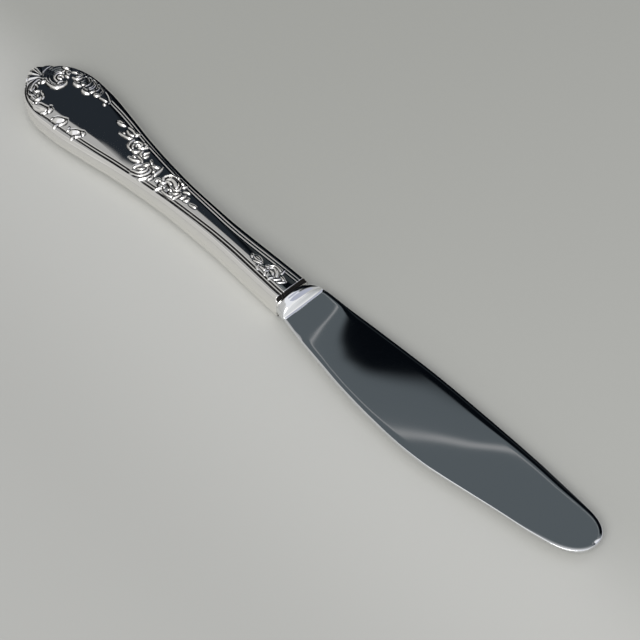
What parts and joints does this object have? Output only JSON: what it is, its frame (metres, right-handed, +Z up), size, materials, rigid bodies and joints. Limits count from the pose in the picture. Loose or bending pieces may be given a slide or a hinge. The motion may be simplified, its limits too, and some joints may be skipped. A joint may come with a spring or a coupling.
{
  "type": "dinner knife",
  "caption": "Table knife with a rounded steel blade and bolster, and a hollow silver handle with a scrolled, shell-tipped border.",
  "frame": {"origin": "under the middle of the knife's box, at its lowest point", "axes": "+X from the butt of the handle to the tip of the blade, the cutting edge faces -Y, +Z up out of the front of the knife"},
  "size_m": [0.2154, 0.0228, 0.0082],
  "materials": {
    "silver": "polished silver with dark tarnish in the recesses of the ornament",
    "solder": "thin dull line of silver solder",
    "blade_steel": "mirror-polished stainless steel with fine wipe marks",
    "cement": "hard brown resin cement, hidden inside the handle"
  },
  "bodies": {
    "root": {"handle_front_half": "silver", "handle_back_half": "silver", "solder_seam": "solder", "blade_with_tang": "blade_steel", "tang_cement": "cement"}
  },
  "joints": []
}
